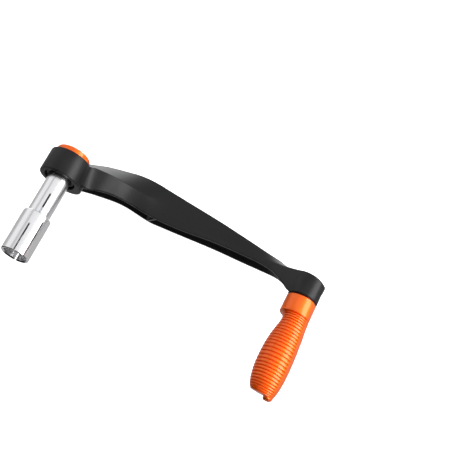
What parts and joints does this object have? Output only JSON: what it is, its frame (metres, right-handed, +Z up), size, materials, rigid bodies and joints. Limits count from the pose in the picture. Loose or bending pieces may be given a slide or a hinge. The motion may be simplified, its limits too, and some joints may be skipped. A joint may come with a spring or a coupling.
{
  "type": "brake lever guard",
  "caption": "Curved machined arm that clamps in a handlebar end and reaches forward round a brake lever, with a coloured ring and a ribbed tip.",
  "frame": {"origin": "on the handlebar's axis, on the face of the boss that meets the end of the bar", "axes": "+X along the bar's axis, in from the left end of the handlebar; +Y forward, from the bar to the tip; +Z up. The guard is stored as it sits on the left end of a handlebar, clamped in the bar by its plug."},
  "size_m": [0.1031, 0.1819, 0.0579],
  "materials": {
    "black_anodised": "satin black anodised",
    "orange_anodised": "orange anodised, semi-gloss",
    "plain_aluminium": "turned, uncoated",
    "screw_steel": "bright zinc",
    "nut_steel": "turned"
  },
  "bodies": {
    "root": {"arm": "black_anodised", "end_ring": "orange_anodised", "clamp_screw": "screw_steel", "plug": "plain_aluminium", "wedge_nut": "nut_steel", "sleeve": "plain_aluminium", "tip": "orange_anodised", "tip_stud": "screw_steel"}
  },
  "joints": []
}
